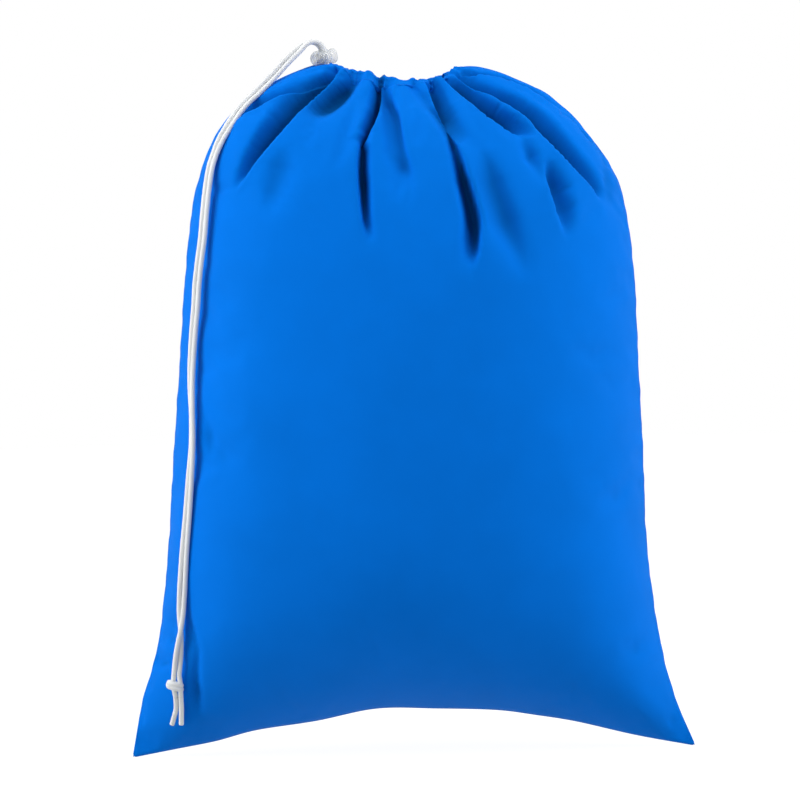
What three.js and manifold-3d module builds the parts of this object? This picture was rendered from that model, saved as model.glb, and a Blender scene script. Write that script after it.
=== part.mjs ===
// A stuffed drawstring laundry bag: two cloth panels sewn along three sides, a gathered hem
// casing round the neck, a cord through the casing and a sprung cord lock that holds it shut.
// Millimetres. +Z is up, +X runs across the front, -Y is the front. The bag stands on its two
// lower corners, and the origin is midway between them on the ground.
import * as THREE from 'three';
import { mergeVertices } from 'three/addons/utils/BufferGeometryUtils.js';
import Module from 'manifold-3d';

const wasm = await Module();
wasm.setup();

// ---------------------------------------------------------------- driving dimensions
const GAP = 0.3;                  // clearance left between pieces that touch
const CLOTH = 3.0;                // thickness of a cloth panel, its folds and slack included
const SEAM_THICK = 3.0;           // overlocked seam allowance, both layers
const SEAM_WIDTH = 9.0;
const FOOT_DEPTH = 32.0;          // half width of the flattened corner the bag stands on
const ARCH_RISE = 60.0;           // middle of the bottom seam above the corners
const FOOT_RISE = 16.0;           // part of the arch that the weight flattens at each corner
const ARCH_POWER = 2.4;

const NECK_X = -3.0;              // centre of the gathered neck
const NECK_HALF_WIDTH = 80.0;     // to the middle of the casing
const NECK_HALF_DEPTH = 50.0;
const NECK_TOP_FRONT = 884.0;     // the hem dips at the front and back
const NECK_TOP_SIDE = 903.0;      // and rises at the sides
const CASING_HEIGHT = 27.0;
const CASING_THICK = 11.0;
const CASING_BORE = 4.3;          // radius of the channel for the cord
const CASING_SIDES = 12;
const CASING_STEPS = 18;
const EXIT_ANGLE = 20.0;          // degrees from the left side to each end of the casing

const CORD_RADIUS = 3.25;
const PAIR_OFFSET = 3.4;          // each strand's distance from the middle of the pair
const CORD_SIDES = 10;

const LOCK_CENTRE = [-99.0, -2.0, 915.5];
const LOCK_YAW = 35.0;            // degrees: the closed end is turned towards the front
const LOCK_TILT = 12.0;           // degrees: the push end is the higher
const BARREL_RADIUS = 10.3;
const BARREL_BORE = 8.4;
const BARREL_LEFT = -18.0;        // closed end, along the lock's own axis
const BARREL_RIGHT = 6.0;         // open end
const BARREL_FLOOR = 2.0;         // thickness of the closed end
const PLUNGER_RADIUS = 8.0;
const PLUNGER_LEFT = -6.5;
const HEAD_LEFT = 12.0;
const HEAD_RIGHT = 16.0;
const HEAD_RADIUS = 9.8;
const PLUNGER_TRAVEL = 5.0;
const HOLE_HALF_LENGTH = 4.0;     // the cord hole, along the lock's axis
const HOLE_HALF_WIDTH = 6.95;     // and across both strands
const SPRING_RADIUS = 5.6;
const SPRING_WIRE = 0.45;
const SPRING_TURNS = 4;

// ---------------------------------------------------------------- materials
function material(color, roughness, extra = {}) {
  return new THREE.MeshStandardMaterial({ color, roughness, metalness: 0.0, ...extra });
}

const CLOTH_BLUE = 0x0c6fe0;
const CORD_WHITE = 0xf2f3f3;

// ---------------------------------------------------------------- outline of the stuffed bag
// Each row is one level of the cloth from the ground to the neck: the left and right outlines
// (x, z), how deep the bag is in front of them at its middle, and how far the middle of the
// level lies above the side seams.
const LEVELS = [
  { left: [-369, 0], right: [369, 0], depth: 52, lift: 60 },
  { left: [-355, 72], right: [344, 68], depth: 104, lift: 42 },
  { left: [-333, 150], right: [325, 150], depth: 138, lift: 24 },
  { left: [-318, 265], right: [313, 265], depth: 158, lift: 8 },
  { left: [-308, 385], right: [309, 385], depth: 165, lift: 0 },
  { left: [-298, 500], right: [306, 500], depth: 164, lift: 0 },
  { left: [-287, 640], right: [302, 640], depth: 154, lift: 0 },
  { left: [-272, 745], right: [285, 745], depth: 135, lift: -2 },
  { left: [-240, 820], right: [243, 814], depth: 108, lift: -7 },
  { left: [-197, 862], right: [200, 855], depth: 86, lift: -15 },
  { left: [-150, 882], right: [150, 880], depth: 71, lift: -29 },
  { left: [-112, 884], right: [106, 884], depth: 60, lift: -30 },
  { left: [-87, 875], right: [81, 875], depth: 52, lift: -19 },
];
const PANEL_COLUMNS = 24;
const PANEL_ROWS = 24;

function through(values) {
  return new THREE.CatmullRomCurve3(values.map((v) => new THREE.Vector3(...v)));
}

const leftOutline = through(LEVELS.map((l) => [l.left[0], 0, l.left[1]]));
const rightOutline = through(LEVELS.map((l) => [l.right[0], 0, l.right[1]]));
const middleProfile = through(LEVELS.map((l, i) => [i, l.depth, l.lift]));

// Height of the bottom seam at a place across it: an arch that ends in two flat feet.
function seamArch(spread) {
  return Math.max(0, (ARCH_RISE + FOOT_RISE) * spread ** ARCH_POWER - FOOT_RISE);
}

// A point on the outside of a panel. across runs -1 to 1 from the left seam to the right one,
// and up runs 0 to 1 from the bottom seam to the neck.
function clothPoint(across, up, side) {
  const angle = across * Math.PI / 2;
  const spread = Math.cos(angle);
  const left = leftOutline.getPoint(up);
  const right = rightOutline.getPoint(up);
  const profile = middleProfile.getPoint(up);
  const slide = (Math.sin(angle) + 1) / 2;
  const low = Math.max(0, 1 - up * LEVELS.length / 3);
  const pinch = 1 + 0.45 * low;                    // the corners are thinner than the middle
  const lift = low > 0
    ? THREE.MathUtils.lerp(profile.z * spread ** 2, seamArch(spread), low)
    : profile.z * spread ** 2;
  const depth = SEAM_THICK / 2 + GAP + profile.y * spread ** pinch;
  return new THREE.Vector3(
    THREE.MathUtils.lerp(left.x, right.x, slide),
    side * depth,
    THREE.MathUtils.lerp(left.z, right.z, slide) + lift,
  );
}

// The foot: a narrow strip along the bottom seam that lies level, from the seam outwards.
function footPoint(across, out, side) {
  const spread = Math.cos(across * Math.PI / 2);
  const x = leftOutline.getPoint(0).x * -Math.sin(across * Math.PI / 2);
  const depth = SEAM_THICK / 2 + GAP + out * FOOT_DEPTH * Math.sqrt(spread);
  return new THREE.Vector3(x, side * depth, seamArch(spread));
}

// ---------------------------------------------------------------- geometry helpers
// A closed body between two grids of points. With wraps, the columns join into a ring.
function closedShell(outer, inner, columns, rows, wraps = false) {
  const points = [];
  const faces = [];
  const width = wraps ? columns : columns + 1;
  const layer = width * (rows + 1);
  for (const surface of [outer, inner]) {
    for (let j = 0; j <= rows; j += 1) {
      for (let i = 0; i < width; i += 1) {
        points.push(surface(i / columns, j / rows, j));
      }
    }
  }
  const at = (i, j, k) => k * layer + j * width + (i % width);
  const quad = (a, b, c, d) => faces.push(a, b, c, a, c, d);
  for (let j = 0; j < rows; j += 1) {
    for (let i = 0; i < columns; i += 1) {
      quad(at(i, j, 0), at(i + 1, j, 0), at(i + 1, j + 1, 0), at(i, j + 1, 0));
      quad(at(i, j, 1), at(i, j + 1, 1), at(i + 1, j + 1, 1), at(i + 1, j, 1));
    }
  }
  for (let i = 0; i < columns; i += 1) {
    quad(at(i, 0, 0), at(i, 0, 1), at(i + 1, 0, 1), at(i + 1, 0, 0));
    quad(at(i, rows, 0), at(i + 1, rows, 0), at(i + 1, rows, 1), at(i, rows, 1));
  }
  for (let j = 0; !wraps && j < rows; j += 1) {
    quad(at(0, j, 0), at(0, j + 1, 0), at(0, j + 1, 1), at(0, j, 1));
    quad(at(columns, j, 0), at(columns, j, 1), at(columns, j + 1, 1), at(columns, j + 1, 0));
  }
  const geometry = new THREE.BufferGeometry().setFromPoints(points);
  geometry.setIndex(faces);
  return facingOut(geometry);
}

// Turns every face over if the body is inside out.
function facingOut(geometry) {
  const place = geometry.getAttribute('position');
  const index = geometry.getIndex().array;
  const corner = (n) => new THREE.Vector3().fromBufferAttribute(place, n);
  let volume = 0;
  for (let f = 0; f < index.length; f += 3) {
    volume += corner(index[f]).dot(corner(index[f + 1]).cross(corner(index[f + 2])));
  }
  if (volume < 0) {
    for (let f = 0; f < index.length; f += 3) {
      [index[f], index[f + 1]] = [index[f + 1], index[f]];
    }
  }
  geometry.computeVertexNormals();
  return geometry;
}

function tube(curve, radius, steps, sides = CORD_SIDES) {
  const section = new THREE.Shape();
  section.absarc(0, 0, radius, 0, 2 * Math.PI);
  return new THREE.ExtrudeGeometry(section, {
    steps, extrudePath: curve, curveSegments: sides / 2, bevelEnabled: false,
  });
}

function toSolid(geometry) {
  const bare = geometry.clone();
  bare.deleteAttribute('normal');
  bare.deleteAttribute('uv');
  const merged = mergeVertices(bare, 1e-4);
  return new wasm.Manifold(new wasm.Mesh({
    numProp: 3,
    vertProperties: new Float32Array(merged.getAttribute('position').array),
    triVerts: new Uint32Array(merged.getIndex().array),
  }));
}

function toGeometry(solid) {
  const mesh = solid.getMesh();
  const geometry = new THREE.BufferGeometry();
  geometry.setAttribute('position', new THREE.BufferAttribute(mesh.vertProperties, 3));
  geometry.setIndex(new THREE.BufferAttribute(mesh.triVerts, 1));
  geometry.computeVertexNormals();
  return geometry;
}

const bag = new THREE.Group();

function add(name, geometry, surface, parent = bag) {
  const mesh = new THREE.Mesh(geometry, surface);
  mesh.name = name;
  parent.add(mesh);
  return mesh;
}

// ---------------------------------------------------------------- cloth panels
function panel(side) {
  const outer = (u, v, row) => {
    const across = 2 * u - 1;
    return row === 0 ? footPoint(across, 0, side)
      : row === 1 ? footPoint(across, 1, side)
        : clothPoint(across, (row - 1) / (PANEL_ROWS - 1), side);
  };
  const inner = (u, v, row) => {
    const point = outer(u, v, row);
    const middle = row > 1 ? (leftOutline.getPoint(v).x + rightOutline.getPoint(v).x) / 2 : 0;
    const seat = SEAM_THICK / 2 + GAP;
    const half = Math.abs(leftOutline.getPoint(v).x);
    const depth = Math.abs(point.y) - seat;
    point.x = middle + (point.x - middle) * (1 - CLOTH / half);
    point.y = side * (seat + depth - Math.min(CLOTH, 0.3 * depth));
    point.z += CLOTH * Math.max(0, 1 - v * 4);
    return point;
  };
  return closedShell(outer, inner, PANEL_COLUMNS, PANEL_ROWS);
}

add('front_panel', panel(-1), material(CLOTH_BLUE, 0.85));
add('back_panel', panel(1), material(CLOTH_BLUE, 0.85));

// ---------------------------------------------------------------- seam allowances
// A flat strip between the panels, from its outer edge inwards, extruded through its thickness.
function seamStrip(edge) {
  const inward = edge.map((p, i) => {
    const next = edge[Math.min(i + 1, edge.length - 1)];
    const last = edge[Math.max(i - 1, 0)];
    const run = next.clone().sub(last).normalize();
    return new THREE.Vector2(p.x - run.y * SEAM_WIDTH, p.y + run.x * SEAM_WIDTH);
  });
  const outline = new THREE.Shape([...edge, ...inward.reverse()]);
  const strip = new THREE.ExtrudeGeometry(outline, { depth: SEAM_THICK, bevelEnabled: false });
  strip.translate(0, 0, -SEAM_THICK / 2);
  strip.rotateX(Math.PI / 2);
  return strip;
}

const SIDE_SEAM_FROM = 0.02;
const SIDE_SEAM_TO = 0.985;
const SIDE_SEAM_STEPS = 28;
const BOTTOM_SEAM_HALF = 350.0;
const BOTTOM_SEAM_STEPS = 24;

function sideEdge(outline) {
  const edge = [];
  for (let i = 0; i <= SIDE_SEAM_STEPS; i += 1) {
    const up = THREE.MathUtils.lerp(SIDE_SEAM_FROM, SIDE_SEAM_TO, i / SIDE_SEAM_STEPS);
    const p = outline.getPoint(up);
    edge.push(new THREE.Vector2(p.x, p.z));
  }
  return edge;
}

function bottomEdge() {
  const edge = [];
  const half = -leftOutline.getPoint(0).x;
  for (let i = 0; i <= BOTTOM_SEAM_STEPS; i += 1) {
    const x = THREE.MathUtils.lerp(-BOTTOM_SEAM_HALF, BOTTOM_SEAM_HALF, i / BOTTOM_SEAM_STEPS);
    edge.push(new THREE.Vector2(x, seamArch(Math.cos(Math.asin(x / half)))));
  }
  return edge;
}

add('side_seam_left', seamStrip(sideEdge(leftOutline).reverse()), material(CLOTH_BLUE, 0.9));
add('side_seam_right', seamStrip(sideEdge(rightOutline)), material(CLOTH_BLUE, 0.9));
add('bottom_seam', seamStrip(bottomEdge()), material(CLOTH_BLUE, 0.9));

// ---------------------------------------------------------------- hem casing and its cord
// A point on the middle line of the casing. turn is 0 at the left and 180 at the right.
function casingCentre(turn, side) {
  const t = THREE.MathUtils.degToRad(turn);
  const rise = (NECK_TOP_SIDE - NECK_TOP_FRONT) * Math.cos(t) ** 2;
  return new THREE.Vector3(
    NECK_X - NECK_HALF_WIDTH * Math.cos(t),
    side * NECK_HALF_DEPTH * Math.sin(t),
    NECK_TOP_FRONT + rise - CASING_HEIGHT / 2,
  );
}

function casing(side) {
  const last = 180 - 0.15;
  const ring = (radial, tall) => (u, v) => {
    const turn = THREE.MathUtils.lerp(EXIT_ANGLE, last, v);
    const t = THREE.MathUtils.degToRad(turn);
    const out = new THREE.Vector3(
      -Math.cos(t) / NECK_HALF_WIDTH, side * Math.sin(t) / NECK_HALF_DEPTH, 0,
    ).normalize();
    const around = u * 2 * Math.PI;
    const point = casingCentre(turn, side);
    point.addScaledVector(out, radial(around));
    point.z += tall(around);
    return point;
  };
  const soften = (value) => Math.sign(value) * Math.abs(value) ** 0.6;
  const outer = ring(
    (a) => soften(Math.cos(a)) * CASING_THICK / 2,
    (a) => soften(Math.sin(a)) * CASING_HEIGHT / 2,
  );
  const bore = ring((a) => Math.cos(a) * CASING_BORE, (a) => Math.sin(a) * CASING_BORE);
  return closedShell(outer, bore, CASING_SIDES, CASING_STEPS, true);
}

add('casing_front', casing(-1), material(CLOTH_BLUE, 0.85));
add('casing_back', casing(1), material(CLOTH_BLUE, 0.85));

const lockGroup = new THREE.Group();
lockGroup.position.set(...LOCK_CENTRE);
lockGroup.rotation.order = 'ZYX';
lockGroup.rotation.y = -THREE.MathUtils.degToRad(LOCK_TILT);
lockGroup.rotation.z = THREE.MathUtils.degToRad(LOCK_YAW);
lockGroup.updateMatrixWorld();
bag.add(lockGroup);

function inLock(x, y, z) {
  return new THREE.Vector3(x, y, z).applyMatrix4(lockGroup.matrixWorld);
}

const LOOP_TOP = 6.0;             // the loop's ends, above the lock's centre
const LOOP_BOTTOM = -14.0;        // the strands stay straight down to here
const LOOP_STEP = 4.0;

function drawcordLoop() {
  const points = [];
  for (let z = LOOP_TOP; z >= LOOP_BOTTOM; z -= LOOP_STEP) {
    points.push(inLock(0, -PAIR_OFFSET, z));
  }
  points.push(new THREE.Vector3(-88, -9.5, 892.5));
  for (let turn = 15; turn <= 180; turn += 15) {
    points.push(casingCentre(turn, -1));
  }
  for (let turn = 165; turn >= 15; turn -= 15) {
    points.push(casingCentre(turn, 1));
  }
  points.push(new THREE.Vector3(-91, 9.5, 892.5));
  for (let z = LOOP_BOTTOM; z <= LOOP_TOP; z += LOOP_STEP) {
    points.push(inLock(0, PAIR_OFFSET, z));
  }
  return tube(new THREE.CatmullRomCurve3(points), CORD_RADIUS, 96);
}

add('drawcord_loop', drawcordLoop(), material(CORD_WHITE, 0.8));

// ---------------------------------------------------------------- free cord
// Middle of the pair of strands from the lock to the knot: x, y, z, then the direction in
// degrees, seen from above, from the back strand to the front one.
const ROUTE = [
  [-100.1, -2.8, 921.7, -55],
  [-100.7, -3.2, 925.2, -55],
  [-103.2, -4.0, 930.7, -55],
  [-107.9, -5.2, 934.6, -55],
  [-113.9, -6.6, 936.0, -54],
  [-119.9, -8.1, 934.5, -50],
  [-126.0, -9.5, 930.8, -34],
  [-132.4, -11.0, 924.8, -16],
  [-147.1, -15.0, 911.0, -2],
  [-160.9, -19.0, 895.9, 0],
  [-173.5, -22.5, 882.6, -4],
  [-189.8, -27.5, 866.4, -8],
  [-204.6, -34.5, 851.7, -12],
  [-216.6, -41.8, 835.6, -14],
  [-227.1, -46.4, 818.9, -20],
  [-235.7, -48.0, 804.0, -32],
  [-242.9, -49.5, 787.0, -44],
  [-248.7, -53.5, 768.0, -42],
  [-253.2, -59.0, 740.0, -40],
  [-256.6, -64.0, 710.0, -38],
  [-259.8, -66.7, 678.0, -38],
  [-264.3, -67.2, 648.0, -36],
  [-268.1, -67.7, 618.3, -34],
  [-270.3, -68.5, 589.8, -38],
  [-273.9, -68.0, 556.3, -42],
  [-277.0, -68.5, 518.0, -48],
  [-278.2, -71.0, 486.0, -60],
  [-277.7, -76.0, 450.0, -76],
  [-278.2, -79.0, 410.0, -70],
  [-282.2, -76.5, 365.0, -48],
  [-286.5, -75.0, 318.5, -38],
  [-291.5, -73.0, 272.0, -28],
  [-295.3, -71.0, 225.4, -10],
  [-297.6, -67.5, 194.0, -35],
  [-299.2, -66.5, 166.9, -95],
  [-302.3, -63.5, 142.0, -150],
  [-305.0, -61.0, 121.0, -178],
  [-306.0, -60.3, 111.5, -185],
];
const STRAND_STEPS = 64;

function strandCurve(side) {
  const middle = through(ROUTE.map(([x, y, z]) => [x, y, z]));
  const points = [];
  for (let i = 0; i <= STRAND_STEPS; i += 1) {
    const t = i / STRAND_STEPS;
    const place = t * (ROUTE.length - 1);
    const from = Math.min(Math.floor(place), ROUTE.length - 2);
    const angle = THREE.MathUtils.degToRad(
      THREE.MathUtils.lerp(ROUTE[from][3], ROUTE[from + 1][3], place - from),
    );
    const along = middle.getTangent(t);
    const across = new THREE.Vector3(Math.cos(angle), Math.sin(angle), 0);
    across.addScaledVector(along, -across.dot(along)).normalize();
    points.push(middle.getPoint(t).addScaledVector(across, side * PAIR_OFFSET));
  }
  return new THREE.CatmullRomCurve3(points);
}

add('cord_strand_front', tube(strandCurve(1), CORD_RADIUS, STRAND_STEPS), material(CORD_WHITE, 0.8));
add('cord_strand_back', tube(strandCurve(-1), CORD_RADIUS, STRAND_STEPS), material(CORD_WHITE, 0.8));

const KNOT_CENTRE = [-307.9, -60.2, 97.3];
const KNOT_LOBE = 6.4;

// Three crossed lobes, joined: the outer shape of the overhand knot in both strands.
function knot() {
  const lobes = [[28, 0, 0, 0], [-62, 20, 0, 1.5], [84, -25, 0, -3.5]];
  let solid = null;
  for (const [lean, turn, x, z] of lobes) {
    const lobe = new THREE.CapsuleGeometry(KNOT_LOBE, 9, 5, 12);
    lobe.rotateZ(THREE.MathUtils.degToRad(lean));
    lobe.rotateY(THREE.MathUtils.degToRad(turn));
    lobe.rotateX(Math.PI / 2);
    lobe.translate(KNOT_CENTRE[0] + x, KNOT_CENTRE[1], KNOT_CENTRE[2] + z);
    solid = solid ? solid.add(toSolid(lobe)) : toSolid(lobe);
  }
  return toGeometry(solid);
}

const TAILS = {
  cord_tail_left: [
    [-307.9, -55.5, 83.0], [-308.2, -48.5, 68.0],
    [-311.0, -45.0, 57.5], [-315.2, -40.0, 44.8],
  ],
  cord_tail_right: [
    [-301.2, -57.0, 83.0], [-301.2, -51.5, 68.0],
    [-301.8, -48.0, 56.0], [-302.3, -44.0, 45.0],
  ],
};

add('cord_knot', knot(), material(CORD_WHITE, 0.8));
for (const [name, points] of Object.entries(TAILS)) {
  add(name, tube(through(points), CORD_RADIUS, 6), material(CORD_WHITE, 0.8));
}

// ---------------------------------------------------------------- cord lock
// The lock's own axis is local X, from its closed end to its push end; the cord runs along
// local Z through a hole in the barrel and a longer one in the plunger.
function turned(profile, sides = 32) {
  const geometry = new THREE.LatheGeometry(profile.map((p) => new THREE.Vector2(...p)), sides);
  geometry.rotateZ(-Math.PI / 2);
  return geometry;
}

function cordHole(from, to) {
  const block = new THREE.BoxGeometry(to - from, 2 * HOLE_HALF_WIDTH, 4 * BARREL_RADIUS);
  block.translate((from + to) / 2, 0, 0);
  return toSolid(block);
}

function barrel() {
  const floor = BARREL_LEFT + BARREL_FLOOR;
  const body = turned([
    [0, BARREL_LEFT], [5.5, BARREL_LEFT + 0.3], [8.6, BARREL_LEFT + 1.7],
    [10, BARREL_LEFT + 4.2], [BARREL_RADIUS, BARREL_LEFT + 7], [BARREL_RADIUS, BARREL_RIGHT],
    [BARREL_BORE, BARREL_RIGHT], [BARREL_BORE, floor + 2], [BARREL_BORE - 1.6, floor],
    [0, floor],
  ]);
  const hole = cordHole(-HOLE_HALF_LENGTH, HOLE_HALF_LENGTH);
  return toGeometry(toSolid(body).subtract(hole));
}

function plunger() {
  const body = turned([
    [0, PLUNGER_LEFT], [PLUNGER_RADIUS, PLUNGER_LEFT], [PLUNGER_RADIUS, HEAD_LEFT],
    [HEAD_RADIUS, HEAD_LEFT + 0.8], [HEAD_RADIUS, HEAD_RIGHT - 1], [HEAD_RADIUS - 1.4, HEAD_RIGHT],
    [0, HEAD_RIGHT],
  ]);
  const hole = cordHole(-HOLE_HALF_LENGTH, HOLE_HALF_LENGTH + PLUNGER_TRAVEL);
  return toGeometry(toSolid(body).subtract(hole));
}

function spring() {
  const from = BARREL_LEFT + BARREL_FLOOR + SPRING_WIRE + GAP;
  const to = PLUNGER_LEFT - SPRING_WIRE - GAP;
  const steps = SPRING_TURNS * 14;
  const points = [];
  for (let i = 0; i <= steps; i += 1) {
    const angle = i / 14 * 2 * Math.PI;
    points.push(new THREE.Vector3(
      THREE.MathUtils.lerp(from, to, i / steps),
      SPRING_RADIUS * Math.cos(angle),
      SPRING_RADIUS * Math.sin(angle),
    ));
  }
  return tube(new THREE.CatmullRomCurve3(points), SPRING_WIRE, steps, 6);
}

const CLEAR = { transparent: true, opacity: 0.35 };
add('lock_barrel', barrel(), material(0xe9edf0, 0.15, CLEAR), lockGroup);
add('lock_plunger', plunger(), material(0xe9edf0, 0.15, CLEAR), lockGroup);
add('lock_spring', spring(), material(0xb8bcc0, 0.3, { metalness: 1.0 }), lockGroup);

export default bag;
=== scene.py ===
"""A stuffed royal-blue laundry bag, standing on its two lower corners.

The cloth is two panels laid out as grids on the stuffed shape, gathered into the hem casing,
sculpted with the folds that the gathers throw, and then relaxed by a cloth simulation. The free
drawcord, its knot and the clear cord lock are built at the CAD model's places. All lengths are
in metres; +Z is up and the front faces -Y.
"""

import math

import bmesh
import bpy
import numpy as np
from mathutils import Matrix, Vector, noise


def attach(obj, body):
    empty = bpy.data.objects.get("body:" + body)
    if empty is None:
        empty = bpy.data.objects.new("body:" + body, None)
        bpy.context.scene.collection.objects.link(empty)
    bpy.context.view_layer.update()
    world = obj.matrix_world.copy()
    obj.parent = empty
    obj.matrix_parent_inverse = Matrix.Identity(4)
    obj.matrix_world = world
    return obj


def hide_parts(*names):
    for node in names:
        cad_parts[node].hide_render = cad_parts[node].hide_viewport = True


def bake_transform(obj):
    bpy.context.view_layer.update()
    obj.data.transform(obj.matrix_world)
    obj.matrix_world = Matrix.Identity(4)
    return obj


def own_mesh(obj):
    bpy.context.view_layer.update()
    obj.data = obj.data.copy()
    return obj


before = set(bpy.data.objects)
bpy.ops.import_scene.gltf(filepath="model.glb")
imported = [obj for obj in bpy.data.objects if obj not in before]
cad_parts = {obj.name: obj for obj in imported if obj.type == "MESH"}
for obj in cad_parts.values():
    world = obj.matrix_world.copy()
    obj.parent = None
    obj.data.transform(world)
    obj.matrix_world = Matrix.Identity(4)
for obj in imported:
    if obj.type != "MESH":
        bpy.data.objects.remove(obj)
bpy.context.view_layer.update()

# ---------------------------------------------------------------- driving values
COLUMNS = 204                 # cells across one panel
ROWS = 240                    # cells from the bottom seam to the casing
CLOTH_THICKNESS = 0.0009
SEAM_GAP = 0.0012             # half the distance between the panels at a seam
FLAT_WIDTH = 0.762            # each panel as cut and sewn
FLAT_LENGTH = 1.016
CAMERA_PLACE = Vector((-0.0086, -4.0, 0.4626))
CAMERA_ROLL = math.radians(-1.22)
WIDTH_SEEN = 1.0536           # across the picture, at the seams' plane
NECK_X = -0.003
NECK_HALF_WIDTH = 0.080
NECK_HALF_DEPTH = 0.050
CORD_DIAMETER = 0.0065
PAIR_OFFSET = 0.0034
CORD_CLEARANCE = 0.0004
LOCK_CENTRE = Vector((-0.0990, -0.0020, 0.9155))
LOCK_YAW = math.radians(35)
LOCK_TILT = math.radians(12)

# Levels of the stuffed bag from the ground to the casing: left outline (x, z), right outline
# (x, z), depth in front of the seams at the middle, and rise of the middle above the seams.
LEVELS = np.array([
    [-0.3700, 0.000, 0.3700, 0.000, 0.045, 0.060],
    [-0.3550, 0.075, 0.3435, 0.068, 0.100, 0.042],
    [-0.3330, 0.150, 0.3250, 0.150, 0.138, 0.024],
    [-0.3180, 0.265, 0.3120, 0.265, 0.158, 0.008],
    [-0.3085, 0.385, 0.3095, 0.385, 0.165, 0.000],
    [-0.2985, 0.500, 0.3060, 0.500, 0.164, 0.000],
    [-0.2865, 0.640, 0.3015, 0.640, 0.154, 0.000],
    [-0.2710, 0.745, 0.2840, 0.745, 0.135, -0.002],
    [-0.2410, 0.820, 0.2400, 0.814, 0.110, -0.007],
    [-0.2000, 0.864, 0.1980, 0.857, 0.089, -0.024],
    [-0.1600, 0.8875, 0.1520, 0.882, 0.077, -0.038],
    [-0.1180, 0.9035, 0.1060, 0.8980, 0.067, -0.0415],
    [-0.0885, 0.9068, 0.0765, 0.8985, 0.0590, -0.0325],
])
# The hem's top edge on the front, as (x, z): low in the middle, with a step at the right where
# the shoulder's first pleat stands up behind it.
RIM = [(-0.091, 0.9080), (-0.078, 0.9045), (-0.065, 0.9000), (-0.050, 0.8975), (-0.036, 0.8950),
       (-0.026, 0.8875), (-0.018, 0.8915), (-0.006, 0.8870), (0.006, 0.8840), (0.018, 0.8860),
       (0.036, 0.8815), (0.053, 0.8840), (0.067, 0.8855), (0.0715, 0.8960), (0.0800, 0.8992)]

# The bottom seam's line between the two corners that the bag stands on, as (x, z).
ARCH = [(-0.370, 0.0000), (-0.313, 0.0100), (-0.260, 0.0194), (-0.207, 0.0325), (-0.128, 0.0430),
        (-0.048, 0.0575), (0.031, 0.0560), (0.110, 0.0523), (0.162, 0.0446), (0.215, 0.0350),
        (0.293, 0.0155), (0.370, 0.0000)]

rng = np.random.default_rng(7)


def smooth(edge_0, edge_1, value):
    """0 before edge_0, 1 after edge_1, and an even S between them."""
    t = np.clip((value - edge_0) / (edge_1 - edge_0), 0, 1)
    return t * t * (3 - 2 * t)


def spline(values, t):
    """Catmull-Rom curve through the rows of values; t runs from 0 to 1."""
    values = np.asarray(values, float)
    ends = np.vstack([2 * values[0] - values[1], values, 2 * values[-1] - values[-2]])
    place = np.clip(np.asarray(t, float), 0, 1) * (len(values) - 1)
    k = np.minimum(place.astype(int), len(values) - 2)
    return between(*(ends[k + step] for step in range(4)), (place - k)[..., None])


def between(a, b, c, d, f):
    """The share f of the way from b to c, on the Catmull-Rom curve through a, b, c and d."""
    return 0.5 * (2 * b + (c - a) * f + (2 * a - 5 * b + 4 * c - d) * f ** 2
                  + (3 * b - a - 3 * c + d) * f ** 3)


def unit(vectors):
    """Each vector along the last axis, made 1 long."""
    return vectors / np.maximum(np.linalg.norm(vectors, axis=-1, keepdims=True), 1e-12)


def run_along(line):
    """How far along a line of points each of them lies."""
    return np.concatenate([[0], np.cumsum(np.linalg.norm(np.diff(line, axis=0), axis=1))])


# ---------------------------------------------------------------- camera
def make_camera():
    """Level, square to the front, far enough off for a flat perspective."""
    data = bpy.data.cameras.new("camera")
    data.sensor_width = 36.0
    data.lens = data.sensor_width * abs(CAMERA_PLACE.y) / WIDTH_SEEN
    camera = bpy.data.objects.new("camera", data)
    bpy.context.scene.collection.objects.link(camera)
    camera.matrix_world = (Matrix.Translation(CAMERA_PLACE) @ Matrix.Rotation(math.radians(90), 4, "X")
                           @ Matrix.Rotation(CAMERA_ROLL, 4, "Z"))
    bpy.context.scene.camera = camera


# ---------------------------------------------------------------- mesh helpers
def mesh_object(name, vertices, faces, material=None):
    mesh = bpy.data.meshes.new(name)
    mesh.from_pydata([tuple(v) for v in vertices], [], faces)
    mesh.update()
    mesh.shade_smooth()
    made = bpy.data.objects.new(name, mesh)
    bpy.context.scene.collection.objects.link(made)
    if material is not None:
        mesh.materials.append(material)
    return made


def solid_object(name, vertices, faces, material=None):
    """A closed mesh with every face turned to face out."""
    made = mesh_object(name, vertices, faces, material)
    work = bmesh.new()
    work.from_mesh(made.data)
    bmesh.ops.recalc_face_normals(work, faces=work.faces)
    work.to_mesh(made.data)
    work.free()
    return made


def stand_in(piece, body, node):
    """A finished piece rides on a body, in the place of a CAD node."""
    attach(piece, body)
    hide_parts(node)


def grid_faces(columns, rows, flip=False, wrap=False, start=0):
    """Quads of a grid of points, row by row; wrap joins the last column to the first."""
    width = columns if wrap else columns + 1
    faces = []
    for j in range(rows):
        for i in range(columns):
            k = (i + 1) % width
            quad = (start + j * width + i, start + j * width + k,
                    start + (j + 1) * width + k, start + (j + 1) * width + i)
            faces.append(quad[::-1] if flip else quad)
    return faces


def grid_normals(points):
    """Unit normals of a (rows, columns, 3) grid, by the cross product of its steps."""
    return unit(np.cross(np.gradient(points, axis=1), np.gradient(points, axis=0)))


# ---------------------------------------------------------------- the stuffed shape
def seam_arch(x):
    """Height of the bottom seam at x."""
    line = spline(ARCH, np.linspace(0, 1, 300))
    return np.interp(x, line[:, 0], line[:, 1])


def nearer(y):
    """How much closer to the camera than the seams a depth y in front of them is."""
    return 1 + np.minimum(y, 0) / abs(CAMERA_PLACE.y)


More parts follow.
